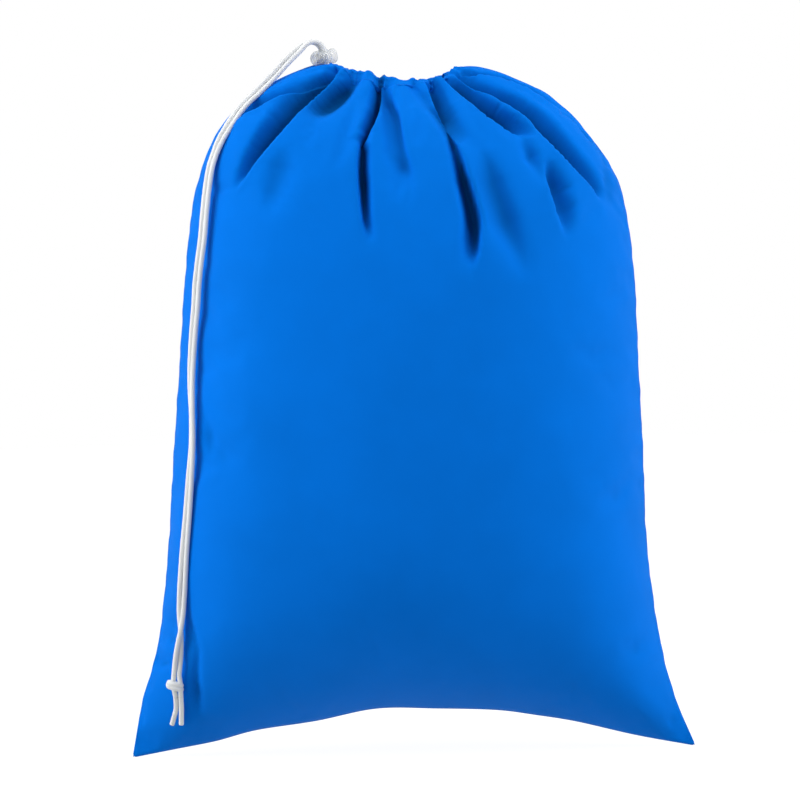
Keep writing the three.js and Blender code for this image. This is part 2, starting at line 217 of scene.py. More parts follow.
def from_seam_plane(x, z, y):
    """x and z, at depth y, of what is listed where it is seen against the seams' plane."""
    scale = nearer(y)
    return CAMERA_PLACE.x + (x - CAMERA_PLACE.x) * scale, CAMERA_PLACE.z + (z - CAMERA_PLACE.z) * scale


def seam_ripple(across, z):
    """Small waves that the stitching draws into the side seams."""
    wave = np.sin(95 * z + 1.1) + 0.8 * np.sin(163 * z + 0.4) + 0.6 * np.sin(271 * z)
    return 0.0003 * wave * across ** 9 * smooth(0.02, 0.09, z) * (1 - smooth(0.80, 0.88, z))


def stuffed(across, up, side):
    """Points of a panel's smooth shape; across -1..1, up 0..1, side -1 front or 1 back."""
    level = spline(LEVELS, up)
    angle = across * math.pi / 2
    spread = np.cos(angle)
    slide = (np.sin(angle) + 1) / 2
    low = np.maximum(0, 1 - up * 13 / 3)
    pinch = 1 + 0.45 * low
    rise = level[..., 5] * spread ** 2
    arch = seam_arch(ARCH[-1][0] * np.sin(angle))
    rise = np.where(low > 0, rise + (arch - rise) * low, rise)
    start = np.sqrt(np.clip(1 - (1 - np.clip(up / 0.055, 0, 1)) ** 2, 0, 1))
    depth = SEAM_GAP + level[..., 4] * spread ** pinch * start
    z = level[..., 1] + (level[..., 3] - level[..., 1]) * slide + rise
    x = level[..., 0] + (level[..., 2] - level[..., 0]) * slide + seam_ripple(across, z)
    return np.stack([x, side * depth, z], axis=-1)


def even_rows():
    """Values of up that step evenly along the cloth, and much more finely near the gathers."""
    fine = np.linspace(0, 1, 1200)
    step = np.diff(run_along(stuffed(np.full_like(fine, 0.45), fine, -1)))
    step *= 0.75 + 1.75 * smooth(0.50, 0.66, np.linspace(0, 1, len(step)))
    run = np.concatenate([[0], np.cumsum(step)])
    return np.interp(np.linspace(0, run[-1], ROWS + 1), run, fine)


UP = even_rows()
EVEN = np.linspace(-1, 1, COLUMNS + 1)
ACROSS = EVEN * (1 - 0.28 * (1 - EVEN ** 2))

# ---------------------------------------------------------------- folds
# Each fold is a line of (x, z) places on the front, as they are seen against the seams' plane,
# from the casing outwards. hollow is how deep the cloth sinks beside the line and width how far
# that hollow reaches, at even steps from its start to its end. crisp is +1 where the hollow lies
# on the left of a crisp edge in a front view, -1 where it lies on the right, and 0 for a soft
# valley with the line at its bottom.
FRONT_FOLDS = [
    dict(line=[(-.076, .899), (-.090, .884), (-.109, .868), (-.128, .851), (-.147, .829),
               (-.166, .808), (-.183, .789), (-.199, .770), (-.213, .751)],
         hollow=(.013, .024, .024, .016, .004), width=(.016, .026, .030, .024, .012), crisp=1),
    dict(line=[(-.077, .8984), (-.106, .8885), (-.136, .8756), (-.167, .8612), (-.190, .8495),
               (-.207, .8408), (-.222, .829)],
         hollow=(.004, .007, .010, .016, .012), width=(.008, .012, .018, .028, .020), crisp=1),
    dict(line=[(-.0560, .890), (-.0667, .8801), (-.0836, .8654), (-.1021, .8521), (-.1200, .8420)],
         hollow=(.010, .015, .015, .012, .003), width=(.007, .009, .013, .014, .012), crisp=0),
    dict(line=[(-.0235, .884), (-.0244, .863), (-.030, .843), (-.038, .825), (-.0503, .809)],
         hollow=(.012, .019, .014), width=(.010, .013, .010), crisp=1),
    dict(line=[(-.0500, .813), (-.056, .7997), (-.0591, .768), (-.0575, .735), (-.0545, .705),
               (-.0515, .682)],
         hollow=(.013, .017, .003), width=(.010, .0135, .010), crisp=-1),
    dict(line=[(-.014, .882), (-.008, .860), (.000, .840), (.006, .805), (.013, .776)],
         hollow=(.009, .008, .003), width=(.014, .024, .026), crisp=1),
    dict(line=[(.025, .874), (.039, .849), (.053, .834), (.065, .817), (.074, .803)],
         hollow=(.003, .004, .004), width=(.008, .010, .010), crisp=1),
    dict(line=[(.0325, .8777), (.0519, .837), (.0746, .7994), (.0904, .752), (.1027, .7015),
               (.1015, .670), (.0963, .636)],
         hollow=(.002, .004, .008, .018, .021, .012, .001),
         width=(.006, .008, .010, .017, .020, .022, .020), crisp=1),
    dict(line=[(.0350, .878), (.0540, .8385), (.0700, .8115), (.0800, .794)],
         hollow=(.012, .013, .006, .0005), width=(.014, .022, .020, .012), crisp=-1),
    dict(line=[(.056, .884), (.086, .858), (.114, .835), (.141, .816), (.160, .806)],
         hollow=(.012, .021, .004), width=(.013, .019, .018), crisp=-1),
    dict(line=[(.074, .889), (.098, .871), (.121, .859), (.141, .847), (.167, .829),
               (.185, .806), (.208, .781), (.228, .759), (.254, .733)],
         hollow=(.010, .015, .018, .009), width=(.012, .020, .026, .018), crisp=-1),
    dict(line=[(.086, .893), (.114, .887), (.156, .873), (.186, .857), (.207, .838)],
         hollow=(.009, .012, .002), width=(.010, .016, .016), crisp=-1),
    dict(line=[(.226, .821), (.242, .802), (.262, .776)],
         hollow=(.001, .005, .001), width=(.010, .014, .012), crisp=-1),
    dict(line=[(.158, .803), (.169, .778), (.181, .748)],
         hollow=(.002, .005, .002), width=(.007, .009, .008), crisp=0),
    dict(line=[(.183, .775), (.192, .741), (.202, .706), (.212, .665)],
         hollow=(.001, .010, .008, .001), width=(.016, .024, .028, .028), crisp=-1),
    dict(line=[(.108, .790), (.120, .745), (.136, .694), (.158, .632)],
         hollow=(.002, .006, .007, .002), width=(.012, .017, .018, .014), crisp=0),
    dict(line=[(-.148, .802), (-.157, .770), (-.170, .735), (-.181, .708)],
         hollow=(.001, .004, .0035, .001), width=(.016, .022, .020, .014), crisp=0),
    dict(line=[(-.014, .790), (.004, .772), (.026, .764)],
         hollow=(.001, .003, .001), width=(.012, .014, .012), crisp=0),
    dict(line=[(.262, .786), (.274, .746), (.282, .700)],
         hollow=(.001, .004, .001), width=(.012, .016, .016), crisp=0),
    # slack lower on the body
    dict(line=[(-.270, .452), (-.264, .420), (-.268, .385)],
         hollow=(.001, .004, .001), width=(.007, .009, .009), crisp=0),
    dict(line=[(-.262, .415), (-.246, .392), (-.236, .360)],
         hollow=(.001, .0025, .0005), width=(.012, .016, .016), crisp=0),
    dict(line=[(-.297, .190), (-.291, .170), (-.284, .140), (-.2855, .115), (-.2855, .081),
               (-.279, .047)],
         hollow=(.001, .0030, .0042, .0048, .0055, .001),
         width=(.006, .006, .006, .006, .007, .007), crisp=0),
    dict(line=[(-.343, .130), (-.331, .124), (-.320, .121)],
         hollow=(.002, .0045, .001), width=(.006, .006, .006), crisp=0),
    dict(line=[(-.328, .163), (-.320, .156), (-.312, .150)],
         hollow=(.001, .0040, .001), width=(.006, .006, .006), crisp=0),
    dict(line=[(-.328, .186), (-.318, .178), (-.308, .172)],
         hollow=(.001, .0035, .001), width=(.007, .007, .007), crisp=0),
    dict(line=[(-.262, .070), (-.220, .066), (-.170, .074)],
         hollow=(.0005, .0018, .0005), width=(.010, .013, .012), crisp=0),
    dict(line=[(.296, .352), (.280, .330), (.262, .314)],
         hollow=(.0005, .0025, .0005), width=(.012, .014, .014), crisp=0),
    dict(line=[(.316, .140), (.296, .128), (.274, .120)],
         hollow=(.0005, .003, .0005), width=(.012, .014, .014), crisp=0),
    dict(line=[(.342, .052), (.344, .034), (.349, .016)],
         hollow=(.001, .003, .001), width=(.008, .010, .008), crisp=0),
]
FOLD_GAIN = 1.45
WALL = 0.0075                 # the cloth that a hollow's steep side takes up
LEAN = 0.72                   # how much of that an edge hides by leaning over its hollow
RIDGE = 0.15                  # how far an edge stands proud, as a share of its hollow's depth


def back_folds():
    """The back's gathers: the front's, mirrored and shifted, for cloth gathered the same way."""
    folds = []
    for fold in FRONT_FOLDS:
        shift = rng.uniform(-0.012, 0.012)
        gain = rng.uniform(0.75, 1.1)
        folds.append(dict(
            line=[(-x + shift * min(1, (0.92 - z) / 0.06), z) for x, z in fold["line"]],
            hollow=tuple(gain * h for h in fold["hollow"]), width=fold["width"],
            crisp=-fold["crisp"],
        ))
    return folds


def even_steps(values, t):
    """What a list of values at even steps along a fold comes to at t, from 0 to 1."""
    return np.interp(t, np.linspace(0, 1, len(values)), values)


def near_box(flat, line, reach):
    """Indices of the points within reach of the box round a line."""
    low, high = line.min(0) - reach, line.max(0) + reach
    return np.flatnonzero(((flat > low) & (flat < high)).all(axis=1))


def add_fold(points, shade, base, normals, fold, side):
    """Moves points beside one fold's line, and notes in shade how deep they lie in its hollow, which
    the cloth's colour later shows as painted shade.

    base and normals are the panel's smooth shape.
    """
    flat = base.reshape(-1, 3)
    scale = nearer(flat[:, 1])
    seen_x = CAMERA_PLACE.x + (flat[:, 0] - CAMERA_PLACE.x) / scale
    seen_z = CAMERA_PLACE.z + (flat[:, 2] - CAMERA_PLACE.z) / scale
    listed = spline(fold["line"], np.linspace(0, 1, 240))
    nearest = [np.argmin((seen_x - x) ** 2 + (seen_z - z) ** 2) for x, z in listed]
    depths = flat[nearest, 1]
    x, z = from_seam_plane(*listed.T, depths)
    line = np.stack([x, depths, z], axis=1)
    along = unit(np.gradient(line, axis=0))
    outward = normals.reshape(-1, 3)[nearest]
    beside = unit(np.cross(outward, along))
    near = near_box(flat, line, 2.5 * max(fold["width"]))
    gap = flat[near][:, None, :] - line[None, :, :]
    pick = np.argmin((gap ** 2).sum(axis=2), axis=1)
    offset = gap[np.arange(len(near)), pick]
    t = pick / (len(line) - 1)
    width = even_steps(fold["width"], t)
    from_rim = np.linalg.norm(base - base[-1:], axis=2).reshape(-1)[near]
    past_end = (offset * along[pick]).sum(axis=1)
    depth = FOLD_GAIN * even_steps(fold["hollow"], t) * np.exp(-(past_end / (0.7 * width)) ** 2)
    depth *= 0.65 + 0.35 * smooth(0, 0.030, from_rim)
    moved = points.reshape(-1, 3)
    a = (offset * beside[pick]).sum(axis=1)
    if fold["crisp"] == 0:
        sink = np.exp(-(a / width) ** 2)
        shade.reshape(-1)[near] += sink * depth
        moved[near] -= (sink * depth)[:, None] * outward[pick]
        return
    slip = LEAN * WALL * np.clip(depth / 0.012, 0, 1)
    a = fold["crisp"] * -side * a - slip
    sink = smooth(0, WALL, -a) * (1 - smooth(WALL, WALL + 1.3 * width, -a))
    ridge = np.exp(-(a / np.where(a > 0, 0.75, 0.22) / width) ** 2)
    slip *= np.where(a > 0, np.exp(-(a / (0.8 * width)) ** 2), np.clip(1 + a / WALL, 0, 1))
    shade.reshape(-1)[near] += sink * depth
    push = ((RIDGE * ridge - sink) * depth)[:, None] * outward[pick]
    moved[near] += push + (slip * fold["crisp"] * side)[:, None] * beside[pick]


def gathers(points, normals):
    """Small crinkles that the drawn cord makes at the casing, dying out down the panel."""
    from_neck = np.linalg.norm(points - points[-1:, :, :], axis=2)
    phase = rng.uniform(0, 2 * math.pi, 3)
    turn = (ACROSS * math.pi / 2)[None, :]
    wave = (0.55 * np.cos(19 * turn + phase[0] + 2.2 * np.sin(3 * turn))
            + 0.35 * np.cos(31 * turn + phase[1] + 1.7 * np.sin(5 * turn))
            + 0.30 * np.cos(11 * turn + phase[2]))
    points += (0.0042 * wave * np.exp(-(from_neck / 0.030) ** 1.3))[..., None] * normals


def slack(points, normals, across, up, side):
    """Broad unevenness of stuffed cloth and the small puckers beside the sewn seams."""
    seed = 11.0 if side < 0 else 37.0
    places = points.reshape(-1, 3)
    broad, pucker = (
        np.array([noise.noise(Vector((x * wide, seed, z * high))) for x, y, z in places])
        .reshape(points.shape[:2]) for wide, high in ((6, 5), (9, 42)))
    from_seam = 1 - np.abs(across)
    below_neck = smooth(0, 0.1, 1 - up)
    inside = smooth(0, 0.12, from_seam) * smooth(0, 0.08, up) * below_neck
    at_seam = np.exp(-(from_seam / 0.075) ** 2) * smooth(0, 0.02, from_seam) * below_neck
    points += (0.0035 * broad * inside + 0.0028 * pucker * at_seam)[..., None] * normals


def softened(field):
    """Each value of a grid averaged with its eight neighbours, nearer ones counting for more."""
    for axis in (0, 1):
        ends = np.concatenate([field.take([0], axis), field, field.take([-1], axis)], axis=axis)
        count = field.shape[axis]
        before, here, after = (ends.take(range(k, k + count), axis) for k in range(3))
        field = (before + 2 * here + after) / 4
    return field


def gaps_to(line, flat, out):
    """Points near a line: their indices, how far out from it they are and how far beside it."""
    near = near_box(flat, line, 0.02)
    offset = np.empty((len(near), 3))
    for block in np.array_split(np.arange(len(near)), max(1, len(near) // 2000)):
        gap = flat[near[block]][:, None, :] - line[None, :, :]
        pick = np.argmin((gap ** 2).sum(axis=2), axis=1)
        offset[block] = gap[np.arange(len(block)), pick]
    height = (offset * out[near]).sum(axis=1)
    return near, height, np.sqrt(np.maximum(0, (offset ** 2).sum(axis=1) - height ** 2))


def clear_of_cords(points, side):
    """Dents the cloth where a free strand lies on it, so that they touch without crossing."""
    room = CORD_DIAMETER / 2 + CORD_CLEARANCE
    out = (grid_normals(points) * -side).reshape(-1, 3)
    flat = points.reshape(-1, 3)
    for strand in (strand_line(1), strand_line(-1)):
        near, height, beside = gaps_to(strand, flat, out)
        limit = -np.sqrt(np.maximum(0, room ** 2 - beside ** 2))
        touches = (beside < room) & (height < 0.012)
        flat[near] -= np.where(touches, np.maximum(0, height - limit), 0)[:, None] * out[near]


def outside_hem_cord(points, side):
    """Lifts the cloth off the cord that runs round inside the hem."""
    room = CORD_DIAMETER / 2 + 0.0025
    cord = np.array([cord_in_hem(turn, side) for turn in np.linspace(4, 176, 300)])
    out = (grid_normals(points) * -side).reshape(-1, 3)
    flat = points.reshape(-1, 3)
    near, height, beside = gaps_to(cord, flat, out)
    lift = np.clip(np.sqrt(np.maximum(0, room ** 2 - beside ** 2)) - height, 0, 0.012)
    flat[near] += (lift * (beside < room))[:, None] * out[near]


def sculpted(side):
    """One panel's grid of points, folds and all, before the simulation."""
    across, up = np.meshgrid(ACROSS, UP)
    base = stuffed(across, up, side)
    normals = grid_normals(base) * -side
    points = base.copy()
    shade = np.zeros(points.shape[:2])
    for fold in FRONT_FOLDS if side < 0 else back_folds():
        add_fold(points, shade, base, normals, fold, side)
    gathers(points, normals)
    slack(points, normals, across, up, side)
    points = settled(points, shade, side)
    outside_hem_cord(points, side)
    if side < 0:
        clear_of_cords(points, side)
    points = base + softened(points - base)
    outside_hem_cord(points, side)
    points[:, 0], points[:, -1] = base[:, 0], base[:, -1]
    points[0] = base[0]
    points[..., 2] = np.maximum(points[..., 2], CLOTH_THICKNESS)
    return points, base, shade


def add_cloth_uv(made, place):
    """Gives each vertex its place on the flat cloth, in metres, for the weave."""
    layer = made.data.uv_layers.new(name="cloth")
    corner = np.empty(len(made.data.loops), int)
    made.data.loops.foreach_get("vertex_index", corner)
    layer.data.foreach_set("uv", place[corner].ravel().astype(np.float32))


def add_painted_shade(made, depth):
    """Keeps how deep each vertex lies in a fold, from 0 to 1, as the attribute that paints shade into
    the cloth's colour in the fold hollows.
    """
    layer = made.data.attributes.new("fold", "FLOAT", "POINT")
    layer.data.foreach_set("value", np.clip(depth / 0.018 - 0.13, 0, 0.9).ravel().astype(np.float32))


def cloth_object(name, points, base, shade, side, material):
    """A panel as a closed sheet of cloth, with its own flat-cut coordinates as UVs."""
    rows, columns = points.shape[0] - 1, points.shape[1] - 1
    inward = -side * unit(grid_normals(base) + 0.7 * grid_normals(points))
    inside = points - inward * CLOTH_THICKNESS
    inside[..., 1] = side * np.maximum(side * inside[..., 1], SEAM_GAP * 0.5)
    outer, inner = points.reshape(-1, 3), inside.reshape(-1, 3)
    count = len(outer)
    faces = grid_faces(columns, rows, flip=side > 0)
    faces += grid_faces(columns, rows, flip=side < 0, start=count)
    width = columns + 1
    rim = ([j * width for j in range(rows + 1)][::-1] + list(range(1, width))
           + [j * width + columns for j in range(1, rows + 1)]
           + [rows * width + i for i in range(columns - 1, 0, -1)])
    for here, there in zip(rim, rim[1:] + rim[:1]):
        quad = (here, here + count, there + count, there)
        faces.append(quad if side < 0 else quad[::-1])
    made = mesh_object(name, np.vstack([outer, inner]), faces, material)
    u, v = np.meshgrid(np.linspace(0, FLAT_WIDTH, width), np.linspace(0, FLAT_LENGTH, rows + 1))
    add_cloth_uv(made, np.tile(np.stack([u.ravel(), v.ravel()], axis=1), (2, 1)))
    # painted shade in the fold hollows, kept as the fold attribute
    add_painted_shade(made, np.tile(shade.ravel(), 2))
    return made


# ---------------------------------------------------------------- cords
# Middle of the pair of free strands from the lock to the knot: x, y, z in metres, then the
# direction in degrees, seen from above, from the back strand to the front one.
ROUTE = [
    (-.1001, -.0028, .9217, -55), (-.1007, -.0032, .9252, -55), (-.1032, -.004, .9307, -55),
    (-.1079, -.0052, .9346, -55), (-.1139, -.0066, .936, -54), (-.1199, -.0081, .9345, -50),
    (-.126, -.0095, .9308, -34), (-.1324, -.011, .9248, -16), (-.1471, -.015, .911, -2),
    (-.1609, -.019, .8959, 0), (-.1735, -.0225, .8826, -4), (-.1898, -.0275, .8664, -8),
    (-.2046, -.0345, .8517, -12), (-.2166, -.0418, .8356, -14), (-.2271, -.0464, .8189, -20),
    (-.2357, -.048, .804, -32), (-.2429, -.0495, .787, -44), (-.2487, -.0535, .768, -42),
    (-.2532, -.059, .74, -40), (-.2566, -.064, .71, -38), (-.2598, -.0667, .678, -38),
    (-.2643, -.0672, .648, -36), (-.2681, -.0677, .6183, -34), (-.2703, -.0685, .5898, -38),
    (-.2739, -.068, .5563, -42), (-.277, -.0685, .518, -48), (-.2782, -.071, .486, -60),
    (-.2777, -.076, .45, -76), (-.2782, -.079, .41, -70), (-.2822, -.0765, .365, -48),
    (-.2865, -.075, .3185, -38), (-.2915, -.073, .272, -28), (-.2953, -.071, .2254, -10),
    (-.2976, -.0675, .194, -35), (-.2992, -.0665, .1669, -95), (-.3023, -.0635, .142, -150),
    (-.305, -.061, .121, -178), (-.306, -.0603, .1115, -185),
]
KNOT_CENTRE = Vector((-0.3079, -0.0602, 0.0973))
TAILS = {
    "cord_end_left": [(-0.3079, -0.0555, 0.0830), (-0.3082, -0.0485, 0.0680),
                      (-0.3110, -0.0450, 0.0575), (-0.3152, -0.0400, 0.0448)],
    "cord_end_right": [(-0.3012, -0.0570, 0.0830), (-0.3012, -0.0515, 0.0680),
                       (-0.3018, -0.0480, 0.0560), (-0.3023, -0.0440, 0.0450)],
}
BRAID_STEP = 0.0013           # between the rings of points along a cord
BRAID_SIDES = 24
BRAID_TURN = 0.0112           # along the cord, from one modelled bump to the next


def resampled(points, step):
    """Points at even steps along a line of points."""
    points = np.asarray(points, float)
    run = run_along(points)
    even = np.linspace(0, run[-1], max(2, int(round(run[-1] / step)) + 1))
    return np.stack([np.interp(even, run, points[:, k]) for k in range(3)], axis=1)


def line_frames(line):
    """Side and up of each point of a line, turning as little as they can."""
    tangent = unit(np.gradient(line, axis=0))
    side = np.array([0.0, 1.0, 0.0])
    sides = np.empty_like(line)
    for k, t in enumerate(tangent):
        side = side - t * side.dot(t)
        side /= np.linalg.norm(side)
        sides[k] = side
    return sides, np.cross(tangent, sides)


def round_rings(line, radii, count):
    """Rings of count points round a line; radii is one radius, or one for each ring or point."""
    sides, ups = line_frames(line)
    angle = np.linspace(0, 2 * math.pi, count, endpoint=False)[None, :, None]
    return line[:, None, :] + radii * (np.cos(angle) * sides[:, None, :]
                                       + np.sin(angle) * ups[:, None, :])


def braid_rings(line, cut_end):
    """Rings of points round a line, with a round braid's bumps; cut_end rounds off its end."""
    run = run_along(line)
    angle = np.linspace(0, 2 * math.pi, BRAID_SIDES, endpoint=False)[None, :]
    lean = (2 * math.pi / BRAID_TURN * run)[:, None]
    left, right = np.sin(4 * angle + lean), np.sin(4 * angle - lean)
    bump = np.maximum(np.abs(left) ** 0.7 * (right > 0), np.abs(right) ** 0.7 * (right <= 0))
    radii = CORD_DIAMETER / 2 * (0.93 + 0.09 * bump)
    if cut_end:
        tip = np.clip((run[-1] - run) / (0.25 * CORD_DIAMETER), 0.02, 1)
        radii *= np.sqrt(1 - (1 - tip) ** 2)[:, None]
    return round_rings(line, radii[..., None], BRAID_SIDES)


def tube_faces(rows, sides, start=0):
    """Side quads and two end caps for rings of points."""
    faces = grid_faces(sides, rows - 1, flip=True, wrap=True, start=start)
    faces.append(tuple(start + i for i in range(sides)))
    faces.append(tuple(start + (rows - 1) * sides + i for i in range(sides))[::-1])
    return faces


def braided(name, lines, cut_end=False):
    """One piece made of one or more lengths of braided cord."""
    vertices, faces, runs = [], [], []
    for line in lines:
        rings = braid_rings(resampled(line, BRAID_STEP), cut_end)
        faces += tube_faces(len(rings), BRAID_SIDES, start=len(vertices))
        vertices += list(rings.reshape(-1, 3))
        runs.append(np.arange(len(rings)) * BRAID_STEP)
    made = solid_object(name, vertices, faces, CORD)
    add_cord_uv(made, np.concatenate(runs))
    return made


def add_cord_uv(made, runs):
    """U runs along a cord in metres and V once round it, for the braid."""
    corners = len(made.data.loops)
    vertex = np.empty(corners, int)
    made.data.loops.foreach_get("vertex_index", vertex)
    column = (vertex % BRAID_SIDES).astype(float)
    polygons = len(made.data.polygons)
    start, total = np.empty(polygons, int), np.empty(polygons, int)
    made.data.polygons.foreach_get("loop_start", start)
    made.data.polygons.foreach_get("loop_total", total)
    quads = start[total == 4][:, None] + np.arange(4)
    widest = column[quads].max(axis=1, keepdims=True) > BRAID_SIDES / 2 + 1
    column[quads] += BRAID_SIDES * (widest & (column[quads] == 0))
    layer = made.data.uv_layers.new(name="cord")
    place = np.stack([runs[vertex // BRAID_SIDES], column / BRAID_SIDES], axis=1)
    layer.data.foreach_set("uv", place.ravel().astype(np.float32))


def strand_line(side):
    """Centreline of one free strand: side is 1 for the front one and -1 for the back one."""
    t = np.linspace(0, 1, 400)
    middle = spline(ROUTE, t)[:, :3]
    angle = np.radians(np.interp(t * (len(ROUTE) - 1), range(len(ROUTE)), [p[3] for p in ROUTE]))
    along = unit(np.gradient(middle, axis=0))
    across = np.stack([np.cos(angle), np.sin(angle), np.zeros_like(angle)], axis=1)
    across = unit(across - along * (across * along).sum(axis=1, keepdims=True))
    return middle + side * PAIR_OFFSET * across


def lock_matrix():
    return (Matrix.Translation(LOCK_CENTRE) @ Matrix.Rotation(LOCK_YAW, 4, "Z")
            @ Matrix.Rotation(-LOCK_TILT, 4, "Y"))


def front_rim(x, y):
    """Height of the hem's top edge on the front, at x and depth y."""
    rim_x, rim_z = from_seam_plane(*np.array(RIM).T, np.mean(y))
    scale = nearer(np.asarray(y)) / nearer(np.mean(y))
    return CAMERA_PLACE.z + (np.interp(x, rim_x, rim_z) - CAMERA_PLACE.z) * scale


def cord_in_hem(turn, side):
    """Middle of the cord in the hem, kept under the front's low rim.

    turn is 0 at the left and 180 degrees at the right.
    """
    t = math.radians(turn)
    place = Vector((NECK_X - NECK_HALF_WIDTH * math.cos(t), side * NECK_HALF_DEPTH * math.sin(t),
                    0.8705 + 0.019 * math.cos(t) ** 2))
    if side < 0:
        place.z = min(place.z, float(front_rim(place.x, place.y)) - 0.0095)
    return place


def loop_line():
    """The cord through the lock, round inside the casing and back up through the lock."""
    place = lock_matrix()
    front, back = ([place @ Vector((0, y, z * 0.001)) for z in range(6, -15, -4)]
                   for y in (-PAIR_OFFSET, PAIR_OFFSET))
    points = front + [Vector((-0.088, -0.0095, 0.8925))]
    points += [cord_in_hem(turn, -1) for turn in range(15, 181, 15)]
    points += [cord_in_hem(turn, 1) for turn in range(165, 14, -15)]
    points += [Vector((-0.091, 0.0095, 0.8925))] + back[::-1]
    return spline(np.array(points), np.linspace(0, 1, 500))


def knot_lines():
    """An overhand knot in both strands: they pass down through it, and wrap once behind."""
    centre = np.array(KNOT_CENTRE)
    through = []
    for side, tail, lean in ((-1, "cord_end_right", 0.0008), (1, "cord_end_left", -0.0022)):
        strand = strand_line(side)
        top, above = strand[-1], strand[-1] + (strand[-6] - strand[-1]) * 0.2
        bottom, below = np.array(TAILS[tail][0]), np.array(TAILS[tail][1])
        middle = 0.5 * (top + bottom) + np.array([lean, -0.0016, 0.0015])
        down = (below - bottom) * 0.04
        places = [above, top, 0.6 * top + 0.4 * middle, middle, 0.5 * (middle + bottom), bottom,
                  bottom + down]
        through.append(spline(places, np.linspace(1 / 6, 5 / 6, 40)))
    turn = np.linspace(0, 2 * math.pi, 90)
    wraps = []
    for above in (-1, 1):
        wraps.append(centre + np.stack([
            -0.0002 - 0.0078 * np.cos(turn) + 0.0006 * above * np.sin(turn),
            0.0016 - 0.0060 * np.sin(turn),
            0.0006 + 0.0022 * np.cos(turn) + above * 0.0026,
        ], axis=1))
    lump = np.linspace(0, 2 * math.pi, 50)
    bight = centre + np.stack([-0.0068 + 0.0020 * np.cos(lump), -0.0012 + 0.0024 * np.sin(lump),
                               0.0026 + 0.0026 * np.sin(lump)], axis=1)
    return through + wraps + [bight]


def make_cords():
    loop = braided("drawcord_in_casing", [loop_line()])
    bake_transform(loop)
    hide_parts("drawcord_loop")
    knot = braided("knot", knot_lines())
    stand_in(knot, "bag", "cord_knot")
    for name, node, side in (("front_strand", "cord_strand_front", 1),
                             ("back_strand", "cord_strand_back", -1)):
        line = resampled(strand_line(side), 0.004)
        strand = braided(name, [line])
        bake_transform(strand)
        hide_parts(node)
    for name, node in (("cord_end_left", "cord_tail_left"), ("cord_end_right", "cord_tail_right")):
        line = resampled(spline(TAILS[name], np.linspace(0, 1, 40)), 0.002)
        tail = braided(name, [line], cut_end=True)
        stand_in(tail, "bag", node)


# ---------------------------------------------------------------- cord lock
LOCK_SIDES = 72
HOLE_HALF = 0.0040            # along the lock
HOLE_ACROSS = 0.00695
HOLE_CORNER = 0.0025
BUTTON_TRAVEL = 0.005
SPRING_TURNS = 4.6
SPRING_RADIUS = 0.0056
SPRING_ENDS = (-0.0152, -0.0073)
# Half sections, as (along, radius).
BARREL = [(-0.018, 0.0003), (-0.018, 0.0068), (-0.0125, 0.0103), (-0.0090, 0.0103),
          (-0.0085, 0.0099), (-0.0075, 0.0099), (-0.0070, 0.0103), (0.006, 0.0103),
          (0.006, 0.0084), (-0.016, 0.0084), (-0.016, 0.0003)]
BUTTON = [(-0.0065, 0.0003), (-0.0065, 0.0080), (0.0118, 0.0080), (0.0124, 0.0098),
          (0.0158, 0.0098), (0.0160, 0.0070), (0.0154, 0.0003)]


def lathe(name, profile):
    """A closed turned body about the lock's axis; profile is (along, radius) in metres."""
    profile = np.asarray(profile, float)
    angle = np.linspace(0, 2 * math.pi, LOCK_SIDES, endpoint=False)
    along, radius = profile[:, :1], profile[:, 1:]
    rings = np.stack([np.broadcast_to(along, (len(profile), LOCK_SIDES)),
                      radius * np.cos(angle), radius * np.sin(angle)], axis=-1)
    return solid_object(name, rings.reshape(-1, 3), tube_faces(len(profile), LOCK_SIDES), CLEAR)


def slot_cutter(start, end):
    """A block with rounded corners, for the hole that both strands pass through."""
    left, right = start + HOLE_CORNER, end - HOLE_CORNER
    top = HOLE_ACROSS - HOLE_CORNER
    corners = []
    for x, y, first in ((right, top, 0), (left, top, 90), (left, -top, 180), (right, -top, 270)):
        for k in range(7):
            a = math.radians(first + 15 * k)
            corners.append((x + HOLE_CORNER * math.cos(a), y + HOLE_CORNER * math.sin(a)))
    vertices = [(x, y, z) for z in (-0.02, 0.02) for x, y in corners]
    return solid_object("cutter", vertices, tube_faces(2, len(corners)))


def cut_hole(made, cutter):
    """Takes cutter out of made and softens made's sharp edges."""
    cut = made.modifiers.new("hole", "BOOLEAN")
    cut.operation = "DIFFERENCE"
    cut.solver = "EXACT"
    cut.object = cutter
    bevel = made.modifiers.new("soft_edges", "BEVEL")
    bevel.width = 0.0003
    bevel.segments = 2
    bevel.limit_method = "ANGLE"
    bevel.angle_limit = math.radians(35)
    settle(made)
    bpy.data.objects.remove(cutter)
    made.data.shade_smooth()


def settle(made):
    """Replaces an object's mesh by what its modifiers make of it."""
    bpy.context.view_layer.update()
    graph = bpy.context.evaluated_depsgraph_get()
    mesh = bpy.data.meshes.new_from_object(made.evaluated_get(graph), depsgraph=graph)
    made.modifiers.clear()
    made.data = mesh


def rounded(profile, radius):
    """A profile with each inner corner cut to a small arc of four straight pieces."""
    points = [profile[0]]
    for before, here, after in zip(profile, profile[1:], profile[2:]):
        here = np.array(here, float)
        to, on = np.array(before) - here, np.array(after) - here
        reach = min(radius, 0.45 * np.linalg.norm(to), 0.45 * np.linalg.norm(on))
        start, end = here + unit(to) * reach, here + unit(on) * reach
        points += [tuple((1 - f) ** 2 * start + 2 * f * (1 - f) * here + f ** 2 * end)
                   for f in np.linspace(0, 1, 5)]
    return points + [profile[-1]]


